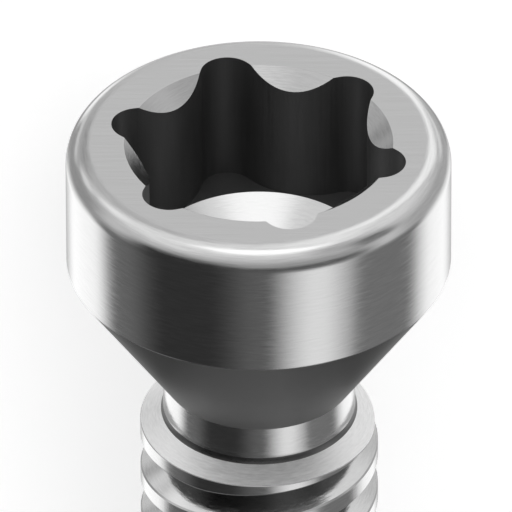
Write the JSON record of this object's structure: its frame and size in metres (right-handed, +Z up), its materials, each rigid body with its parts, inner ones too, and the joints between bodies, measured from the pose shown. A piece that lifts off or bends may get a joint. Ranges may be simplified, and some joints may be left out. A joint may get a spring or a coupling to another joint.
{
  "type": "dental abutment screw",
  "caption": "Turned screw with a six-lobe socket, a cylindrical head on a conical seat, a short neck and a fine right-hand thread; it clamps an abutment to a dental implant.",
  "frame": {"origin": "on the surface that the screw lies on, under the middle of its box", "axes": "+X towards the head along the screw's length, +Z up; the screw's axis lies in the XZ plane and slopes down 4.72 degrees from the head to the tip"},
  "size_m": [0.0072, 0.0026, 0.0026],
  "materials": {
    "polished_titanium": "polished, with faint turning marks"
  },
  "bodies": {
    "root": {"abutment_screw": "polished_titanium"}
  },
  "joints": []
}
